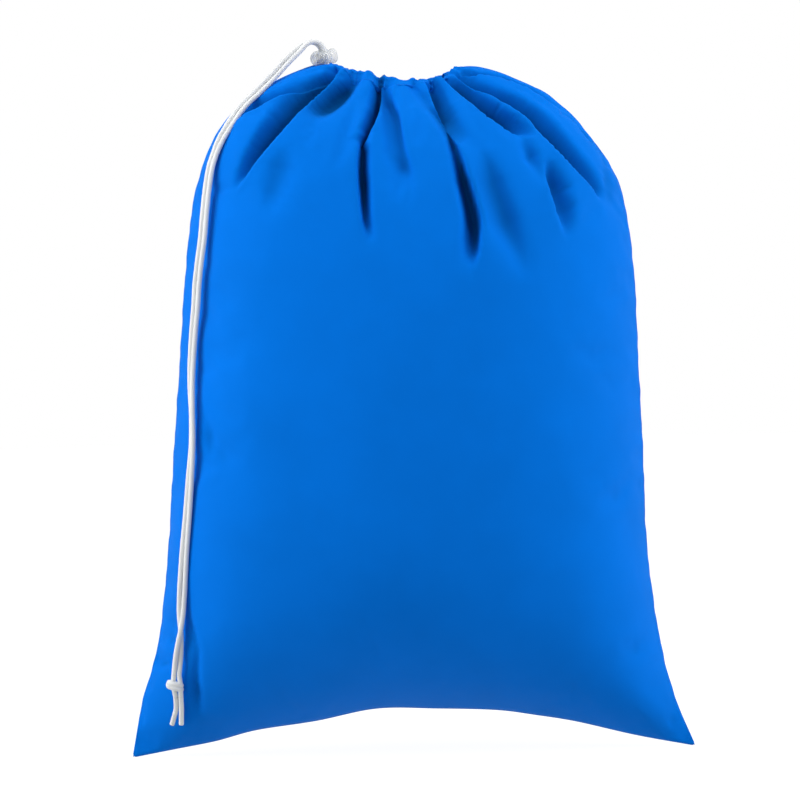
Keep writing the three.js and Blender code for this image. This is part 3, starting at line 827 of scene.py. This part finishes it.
def make_lock():
    """Barrel, push button and spring, laid along x before lock_matrix places them."""
    place = lock_matrix()
    barrel = lathe("clear_barrel", rounded(BARREL, 0.0018))
    cut_hole(barrel, slot_cutter(-HOLE_HALF, HOLE_HALF))
    button = lathe("clear_push_button", rounded(BUTTON, 0.0008))
    cut_hole(button, slot_cutter(-HOLE_HALF, HOLE_HALF + BUTTON_TRAVEL))
    turns = np.linspace(0, SPRING_TURNS * 2 * math.pi, 260)
    helix = np.stack([np.linspace(*SPRING_ENDS, 260), SPRING_RADIUS * np.cos(turns),
                      SPRING_RADIUS * np.sin(turns)], axis=1)
    rings = round_rings(helix, 0.00045, 10)
    spring = solid_object("coil_spring", rings.reshape(-1, 3), tube_faces(len(helix), 10), STEEL)
    for made, body, node, slot in ((barrel, "lock", "lock_barrel", "clear_plastic"),
                                   (button, "push_button", "lock_plunger", "clear_plastic"),
                                   (spring, "lock", "lock_spring", "spring_steel")):
        made.data.transform(place)
        stand_in(made, body, node)
    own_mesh(spring)


# ---------------------------------------------------------------- hem casing
HEM_COLUMNS = 420
HEM_SIDES = 48
HEM_OUTER_SIDES = 18          # those of the outer layer
HEM_ROOM = CORD_DIAMETER / 2 + 0.0020


def closed_spline(values, count):
    """Points round a closed Catmull-Rom curve. values is (knots, columns, 2)."""
    place = np.linspace(0, len(values), count, endpoint=False)
    k = place.astype(int)
    return between(*(values[(k + step) % len(values)] for step in (-1, 0, 1, 2)),
                   (place - k)[:, None, None])


def crinkle(turn):
    """Uneven small gathers round the neck, about -1 to 1."""
    phase = rng.uniform(0, 2 * math.pi, 4)
    wave = (0.5 * np.cos(23 * turn + phase[0] + 2.0 * np.sin(4 * turn + phase[3]))
            + 0.4 * np.cos(37 * turn + phase[1] + 1.5 * np.sin(7 * turn))
            + 0.3 * np.cos(13 * turn + phase[2]))
    return np.sign(wave) * np.abs(wave) ** 0.8


def over_cord(offset):
    """Keeps the hem's outer layer outside the cord in it."""
    return np.logaddexp(offset / 0.001, 5.2) * 0.001


def make_hem(side, points, base):
    """Half the gathered hem: cloth folded over the cord, from the panel's top row and back."""
    turn = np.linspace(0.015, math.pi - 0.015, HEM_COLUMNS)
    across = turn / (math.pi / 2) - 1
    foot, plain = (np.stack([np.interp(across, ACROSS, top[:, k]) for k in range(3)], axis=1)
                   for top in (points[-1], base[-1]))
    cord = np.array([cord_in_hem(math.degrees(t), side) for t in turn])
    out = unit(np.stack([-np.cos(turn) / NECK_HALF_WIDTH, side * np.sin(turn) / NECK_HALF_DEPTH],
                        axis=1))
    fold = ((foot - plain)[:, :2] * out).sum(axis=1)
    reach = ((plain - cord)[:, :2] * out).sum(axis=1)
    low = foot[:, 2] - 0.0015
    wave = crinkle(turn)
    rim = front_rim(cord[:, 0], cord[:, 1]) if side < 0 else 0.886 + 0.014 * np.cos(turn) ** 2
    if side > 0:
        rim = rim - 0.009 * np.exp(-(turn / 0.6) ** 2)
    rim = rim + 0.0016 * wave
    middle = cord[:, 2]
    start = reach + fold + 0.0006
    inner_fold = np.minimum(fold, 0) * 0.3
    section = np.array([
        [start, low],
        [0.7 * start + 0.3 * over_cord(0.0080 + 0.9 * fold), low + 0.32 * (rim - low)],
        [over_cord(0.0072 + 0.8 * fold) + 0.0014 * wave, low + 0.64 * (rim - low)],
        [over_cord(0.0048 + 0.6 * fold) + 0.0020 * wave, low + 0.90 * (rim - low)],
        [0.0006 + 0.4 * fold + 0.0020 * wave, rim],
        [-0.0035 + inner_fold + 0.0015 * wave, rim - 0.0022],
        [-0.0058 + inner_fold + 0.0012 * wave, middle + 0.0030],
        [-0.0055 + inner_fold, middle - 0.0045],
        [-0.0020 + inner_fold, middle - 0.0085],
        [np.minimum(start, 0.003) - 0.0015, np.minimum(low, middle - 0.0085) + 0.0005],
        [np.minimum(start, 0.0065) - 0.0012, np.minimum(low, middle - 0.004)],
    ]).transpose(0, 2, 1)
    ring = closed_spline(section, HEM_SIDES)
    face = ring[:HEM_OUTER_SIDES]
    aside = np.sqrt(np.maximum(0, HEM_ROOM ** 2 - (face[..., 1] - middle) ** 2))
    face[..., 0] = np.maximum(face[..., 0], aside)
    flat = cord[None, :, :2] + out[None] * ring[..., :1]
    slip = (foot - plain)[:, :2] - fold[:, None] * out
    fade = np.clip(1 - (ring[..., 1] - low) / (rim - low + 0.02), 0, 1)
    outer = np.concatenate([flat + slip[None] * fade[..., None], ring[..., 1:]], axis=2)
    outer = outer.transpose(1, 0, 2)
    round_it = np.roll(outer, -1, axis=1) - np.roll(outer, 1, axis=1)
    normal = unit(np.cross(round_it, np.gradient(outer, axis=0)))
    centre = outer.mean(axis=1, keepdims=True)
    normal *= np.sign(((outer - centre) * normal).sum(axis=2).mean())
    inner = outer - normal * CLOTH_THICKNESS
    size = HEM_COLUMNS * HEM_SIDES
    faces = grid_faces(HEM_SIDES, HEM_COLUMNS - 1, wrap=True)
    faces += [f[::-1] for f in grid_faces(HEM_SIDES, HEM_COLUMNS - 1, wrap=True, start=size)]
    for j in (0, HEM_COLUMNS - 1):
        for i in range(HEM_SIDES):
            a, b = j * HEM_SIDES + i, j * HEM_SIDES + (i + 1) % HEM_SIDES
            quad = (a, b, b + size, a + size)
            faces.append(quad if j == 0 else quad[::-1])
    half = "front" if side < 0 else "back"
    made = solid_object("hem_" + half, np.vstack([outer.reshape(-1, 3), inner.reshape(-1, 3)]),
                        faces, CLOTH)
    length = np.linspace(0, FLAT_WIDTH, HEM_COLUMNS)
    height = np.linspace(0, 0.06, HEM_SIDES)
    add_cloth_uv(made, np.tile(np.stack(np.meshgrid(height, length)[::-1], axis=-1).reshape(-1, 2),
                               (2, 1)))
    # painted shade where the hem's cloth sinks in between its gathers
    add_painted_shade(made, np.tile(np.repeat(np.maximum(0, -fold), HEM_SIDES), 2))
    stand_in(made, "bag", "casing_" + half)
    make_stitches(half, outer[:, STITCH_ROW] + 0.0001 * normal[:, STITCH_ROW])
    return made


STITCH_ROW = 2                # of the hem's sides, just above its lower edge
STITCH_COLUMNS = 4            # hem columns from one stitch to the next


def make_stitches(half, line):
    """The row of lockstitch that holds the hem down, bunched up by the gathers."""
    vertices, faces = [], []
    for first in range(2, len(line) - STITCH_COLUMNS, STITCH_COLUMNS):
        stitch = resampled(line[first:first + STITCH_COLUMNS - 1], 0.0002)
        middle = np.linspace(-1, 1, len(stitch))
        radii = 0.00022 * np.sqrt(np.clip(1.02 - middle ** 2, 0, 1))
        faces += tube_faces(len(stitch), 6, start=len(vertices))
        vertices += list(round_rings(stitch, radii[:, None, None], 6).reshape(-1, 3))
    made = solid_object("hem_stitches_" + half, vertices, faces, THREAD)
    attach(made, "bag")


# ---------------------------------------------------------------- sewn seams
SEAM_ALLOWANCE = 0.010        # the panels' edges, turned inside the bag
SEAM_SECTION = [(-SEAM_ALLOWANCE, 0.0004), (-0.0010, 0.0004), (-0.0002, 0.0010), (0.0005, 0.0007),
                (0.0007, 0.0), (0.0005, -0.0007), (-0.0002, -0.0010), (-0.0010, -0.0004),
                (-SEAM_ALLOWANCE, -0.0004)]


def make_seam(name, node, line):
    """A sewn edge along a line of points: the turned-in allowance and the rolled edge outside."""
    along = np.gradient(line, axis=0)
    out = unit(np.stack([along[:, 2], np.zeros(len(line)), -along[:, 0]], axis=1))
    inside = np.array([0, 0, 0.45]) - line
    out *= -np.sign((out * inside).sum(axis=1, keepdims=True))
    section = np.array(SEAM_SECTION)
    run = run_along(line)
    taper = smooth(0, 0.030, np.minimum(run, run[-1] - run))[:, None]
    across = np.where(section[:, 0] < 0, section[:, 0] * taper, section[:, 0])
    rings = (line[:, None, :] + across[..., None] * out[:, None, :]
             + section[None, :, 1:] * np.array([0, 1, 0]))
    rings[..., 2] = np.maximum(rings[..., 2], 0.0002)
    made = solid_object(name, rings.reshape(-1, 3), tube_faces(len(line), len(section)), CLOTH)
    width = np.linspace(0, 0.02, len(section))
    add_cloth_uv(made, np.stack(np.meshgrid(run, width, indexing="ij"), axis=-1).reshape(-1, 2))
    add_painted_shade(made, np.zeros(rings[..., 0].size))
    stand_in(made, "bag", node)


# ---------------------------------------------------------------- cloth simulation
SETTLE_STEP = 2               # the simulated grid takes every second point each way
SETTLE_FRAMES = 20
SETTLE_CAP = 0.007            # the most that a point may move
SETTLE_SLACK = 0.006          # how much longer the cloth is than the sculpted shape


def upsampled(coarse, rows, columns):
    """A coarse grid of values spread evenly over a finer one."""
    for axis, count in ((0, rows), (1, columns)):
        old = np.linspace(0, 1, coarse.shape[axis])
        new = np.linspace(0, 1, count)
        k = np.clip(np.searchsorted(old, new, side="right") - 1, 0, len(old) - 2)
        f = ((new - old[k]) / (old[k + 1] - old[k])).reshape([-1, 1, 1] if axis == 0 else [1, -1, 1])
        coarse = coarse.take(k, axis) * (1 - f) + coarse.take(k + 1, axis) * f
    return coarse


def settled(points, shade, side):
    """A panel after a cloth simulation: filled out by pressure and puckered along its seams."""
    coarse = points[::SETTLE_STEP, ::SETTLE_STEP]
    rows, columns = coarse.shape[:2]
    made = mesh_object("settling_cloth", coarse.reshape(-1, 3),
                       grid_faces(columns - 1, rows - 1, flip=side > 0))
    pinned = made.vertex_groups.new(name="pinned")
    index = np.arange(rows * columns).reshape(rows, columns)
    edge = np.concatenate([index[0], index[-1], index[1:-1, 0], index[1:-1, -1]])
    pinned.add([int(k) for k in edge], 1.0, "REPLACE")
    cloth = made.modifiers.new("cloth", "CLOTH")
    cloth.settings.quality = 5
    cloth.settings.mass = 0.15
    cloth.settings.tension_stiffness = 15
    cloth.settings.compression_stiffness = 15
    cloth.settings.shear_stiffness = 5
    cloth.settings.bending_stiffness = 0.3
    cloth.settings.shrink_min = -SETTLE_SLACK
    cloth.settings.use_pressure = True
    cloth.settings.uniform_pressure_force = 4
    cloth.settings.vertex_group_mass = "pinned"
    cloth.settings.effector_weights.gravity = 0
    scene = bpy.context.scene
    for frame_number in range(1, SETTLE_FRAMES + 1):
        scene.frame_set(frame_number)
    settle(made)
    after = np.empty(rows * columns * 3, np.float32)
    made.data.vertices.foreach_get("co", after)
    bpy.data.objects.remove(made)
    scene.frame_set(1)
    move = after.reshape(rows, columns, 3).astype(float) - coarse
    size = np.linalg.norm(move, axis=2, keepdims=True)
    move *= np.minimum(1, SETTLE_CAP / np.maximum(size, 1e-9))
    keep = 1 - 0.75 * smooth(0.002, 0.010, shade)[..., None]
    return points + keep * upsampled(move, *points.shape[:2])


# ---------------------------------------------------------------- materials
THREAD_PITCH = 0.00055        # one thread to the next


def new_material(name):
    material = bpy.data.materials.new(name)
    material.use_nodes = True
    shader = material.node_tree.nodes["Principled BSDF"]
    return material, material.node_tree, shader


def link(tree, a, output, b, socket):
    tree.links.new(a.outputs[output], b.inputs[socket])


def set_inputs(node, values):
    for socket, value in values.items():
        node.inputs[socket].default_value = value


def map_range(tree, source, output, low, high, to_low, to_high):
    node = tree.nodes.new("ShaderNodeMapRange")
    set_inputs(node, {"From Min": low, "From Max": high, "To Min": to_low, "To Max": to_high})
    link(tree, source, output, node, "Value")
    return node


def add_bump(tree, shader, height, output, strength, distance):
    bump = tree.nodes.new("ShaderNodeBump")
    set_inputs(bump, {"Strength": strength, "Distance": distance})
    link(tree, height, output, bump, "Height")
    link(tree, bump, "Normal", shader, "Normal")


def split_uv(tree, name):
    """The X and Y of a UV map, as a node's outputs."""
    place = tree.nodes.new("ShaderNodeUVMap")
    place.uv_map = name
    split = tree.nodes.new("ShaderNodeSeparateXYZ")
    link(tree, place, "UV", split, "Vector")
    return split


def cloth_material():
    """Plain-woven cotton: threads over and under in the bump, and painted shade that darkens the
    colour in the fold hollows.
    """
    material, tree, shader = new_material("cloth_blue")
    split = split_uv(tree, "cloth")
    threads = [math_node(tree, "MULTIPLY", (split, axis), math.pi / THREAD_PITCH) for axis in "XY"]
    over, under = (math_node(tree, "SINE", (thread, 0)) for thread in threads)
    weave = math_node(tree, "MULTIPLY", (over, 0), (under, 0))
    place = tree.nodes.new("ShaderNodeTexCoord")
    slub = noise_node(tree, place, 900.0, 2.0)
    height = math_node(tree, "MULTIPLY_ADD", (slub, "Fac"), 0.8, (weave, 0))
    add_bump(tree, shader, height, 0, 0.35, 0.00012)
    # painted shade: the fold attribute darkens the base colour in the fold hollows, with a random
    # mottle of tone on top
    depth = tree.nodes.new("ShaderNodeAttribute")
    depth.attribute_name = "fold"
    mottle = map_range(tree, noise_node(tree, place, 9.0, 3.0), "Fac", 0.3, 0.7, -0.06, 0.06)
    total = math_node(tree, "ADD", (depth, "Fac"), (mottle, 0))
    color = mix_node(tree, (total, 0), (0.0009, 0.158, 0.69), (0.0006, 0.050, 0.19))
    color.clamp_factor = False
    link(tree, color, 2, shader, "Base Color")
    set_inputs(shader, {
        "Roughness": 0.9,
        "Specular IOR Level": 0.04, "Specular Tint": (0.03, 0.40, 1.0, 1),
        "Sheen Weight": 0.03, "Sheen Roughness": 0.4, "Sheen Tint": (0.02, 0.42, 1.0, 1),
    })
    return material


def noise_node(tree, place, scale, detail):
    node = tree.nodes.new("ShaderNodeTexNoise")
    set_inputs(node, {"Scale": scale, "Detail": detail})
    link(tree, place, "Object", node, "Vector")
    return node


def math_node(tree, operation, *inputs):
    """A math node; each input is a number or a (node, output) pair."""
    node = tree.nodes.new("ShaderNodeMath")
    node.operation = operation
    for socket, value in zip(node.inputs, inputs):
        if isinstance(value, tuple):
            tree.links.new(value[0].outputs[value[1]], socket)
        else:
            socket.default_value = value
    return node


def mix_node(tree, factor, low, high):
    """A mix of two colours by factor, a (node, output) pair."""
    node = tree.nodes.new("ShaderNodeMix")
    node.data_type = "RGBA"
    tree.links.new(factor[0].outputs[factor[1]], node.inputs[0])
    node.inputs[6].default_value = (*low, 1)
    node.inputs[7].default_value = (*high, 1)
    return node


def cord_material():
    """White round braid: plaits of two directions that cross, with painted shade greying the colour
    where they dip.
    """
    material, tree, shader = new_material("cord_white")
    split = split_uv(tree, "cord")
    along = math_node(tree, "MULTIPLY", (split, "X"), 2 * math.pi / BRAID_PITCH)
    around = math_node(tree, "MULTIPLY", (split, "Y"), 2 * math.pi * BRAID_PLAITS)
    leans = [math_node(tree, way, (along, 0), (around, 0)) for way in ("ADD", "SUBTRACT")]
    right, left = (math_node(tree, "SINE", (lean, 0)) for lean in leans)
    over = math_node(tree, "MAXIMUM", (right, 0), (left, 0))
    height = math_node(tree, "MULTIPLY_ADD", (over, 0), 0.5, 0.5)
    add_bump(tree, shader, height, 0, 0.6, 0.0005)
    # painted shade: the braid's dips are coloured greyer than its crowns
    color = mix_node(tree, (height, 0), (0.60, 0.62, 0.63), (0.83, 0.85, 0.86))
    link(tree, color, 2, shader, "Base Color")
    set_inputs(shader, {"Roughness": 0.95, "Specular IOR Level": 0.1})
    return material


def thread_material():
    """Polyester sewing thread, a shade lighter than the cloth, with its twist in the bump."""
    material, tree, shader = new_material("thread_blue")
    twist = noise_node(tree, tree.nodes.new("ShaderNodeTexCoord"), 3000.0, 1.0)
    add_bump(tree, shader, twist, "Fac", 0.4, 0.00005)
    set_inputs(shader, {"Base Color": (0.003, 0.165, 0.74, 1), "Roughness": 0.6})
    return material


BRAID_PITCH = 0.0026          # one plait to the next, along the cord
BRAID_PLAITS = 6
CLOTH = cloth_material()
CORD = cord_material()
THREAD = thread_material()


def clear_material():
    """Moulded clear plastic: see-through where it faces, and denser at its rims, which are coloured
    grey as painted shade in place of the darkening that refraction gives.
    """
    material, tree, shader = new_material("clear_plastic")
    facing = tree.nodes.new("ShaderNodeLayerWeight")
    facing.inputs["Blend"].default_value = 0.55
    # painted shade: the colour turns grey where the surface turns away from the view
    color = mix_node(tree, (facing, "Facing"), (0.84, 0.87, 0.89), (0.36, 0.40, 0.43))
    link(tree, color, 2, shader, "Base Color")
    dense = map_range(tree, facing, "Facing", 0.15, 0.95, 0.12, 0.74)
    link(tree, dense, "Result", shader, "Alpha")
    set_inputs(shader, {"Roughness": 0.08, "IOR": 1.49})
    return material


def steel_material():
    """Drawn spring wire, with fine lengthwise streaks in its gloss."""
    material, tree, shader = new_material("spring_steel")
    streaks = noise_node(tree, tree.nodes.new("ShaderNodeTexCoord"), 2400.0, 2.0)
    tone = map_range(tree, streaks, "Fac", 0.3, 0.7, 0.24, 0.40)
    link(tree, tone, "Result", shader, "Roughness")
    set_inputs(shader, {"Base Color": (0.34, 0.35, 0.37, 1), "Metallic": 1.0})
    return material


CLEAR = clear_material()
STEEL = steel_material()

make_camera()

# ---------------------------------------------------------------- build
make_cords()
make_lock()
for side, half in ((-1, "front"), (1, "back")):
    points, base, shade = sculpted(side)
    panel = cloth_object(half + "_cloth", points, base, shade, side, CLOTH)
    hem = make_hem(side, points, base)
    stand_in(panel, "bag", half + "_panel")
edge = stuffed(*np.meshgrid(ACROSS, UP), -1) * np.array([1, 0, 1])
make_seam("sewn_edge_left", "side_seam_left", edge[2:, 0])
make_seam("sewn_edge_right", "side_seam_right", edge[2:, -1])
make_seam("sewn_edge_bottom", "bottom_seam", edge[0, 4:-4])


# ---------------------------------------------------------------- stage and light
def area_light(name, place, target, size, power):
    data = bpy.data.lights.new(name, "AREA")
    data.size = size
    data.energy = power
    made = bpy.data.objects.new(name, data)
    made.location = place
    made.rotation_euler = (Vector(target) - Vector(place)).to_track_quat("-Z", "Y").to_euler()
    bpy.context.scene.collection.objects.link(made)


def glow_material(name, color, strength):
    """A pale surface that also gives off a little light, like a lit paper sweep."""
    material, tree, shader = new_material(name)
    set_inputs(shader, {"Base Color": (*color, 1), "Roughness": 0.9, "Specular IOR Level": 0.0,
                        "Emission Color": (1, 1, 1, 1), "Emission Strength": strength})
    return material


def make_stage():
    """A white sweep: a floor and a dome that the camera sees and that cast no light back."""
    sweep_radius = 30.0
    angle = np.linspace(0, 2 * math.pi, 64, endpoint=False)
    edge = [(sweep_radius * math.cos(a), sweep_radius * math.sin(a), 0) for a in angle]
    floor = mesh_object("floor", edge, [tuple(range(64))],
                        glow_material("floor_white", (0.20, 0.20, 0.20), 0.93))
    dome = mesh_object("backdrop", [(0, 0, 0)], [], glow_material("backdrop_white", (0, 0, 0), 1.0))
    work = bmesh.new()
    bmesh.ops.create_uvsphere(work, u_segments=48, v_segments=24, radius=sweep_radius)
    bmesh.ops.reverse_faces(work, faces=work.faces)
    work.to_mesh(dome.data)
    work.free()
    for made in (floor, dome):
        made.visible_diffuse = False
        made.visible_shadow = False
    world = bpy.data.worlds.new("studio")
    bpy.context.scene.world = world
    world.use_nodes = True
    tree = world.node_tree
    background = tree.nodes["Background"]
    place = tree.nodes.new("ShaderNodeTexCoord")
    split = tree.nodes.new("ShaderNodeSeparateXYZ")
    link(tree, place, "Generated", split, "Vector")
    link(tree, map_range(tree, split, "Z", -0.7, 0.8, 0.62, 0.50), "Result", background, "Strength")
    background.inputs["Color"].default_value = (1, 1, 1, 1)
    target = (0, 0, 0.5)
    area_light("left", (-2.8, -0.6, 0.7), target, 1.3, 40)
    area_light("right", (2.8, -0.6, 0.7), target, 1.3, 33)
    area_light("top_left", (-1.5, -0.8, 2.9), target, 1.2, 36)
    area_light("top_right", (1.6, -0.8, 2.8), target, 1.2, 29)
    bpy.context.scene.view_settings.view_transform = "Standard"


make_stage()
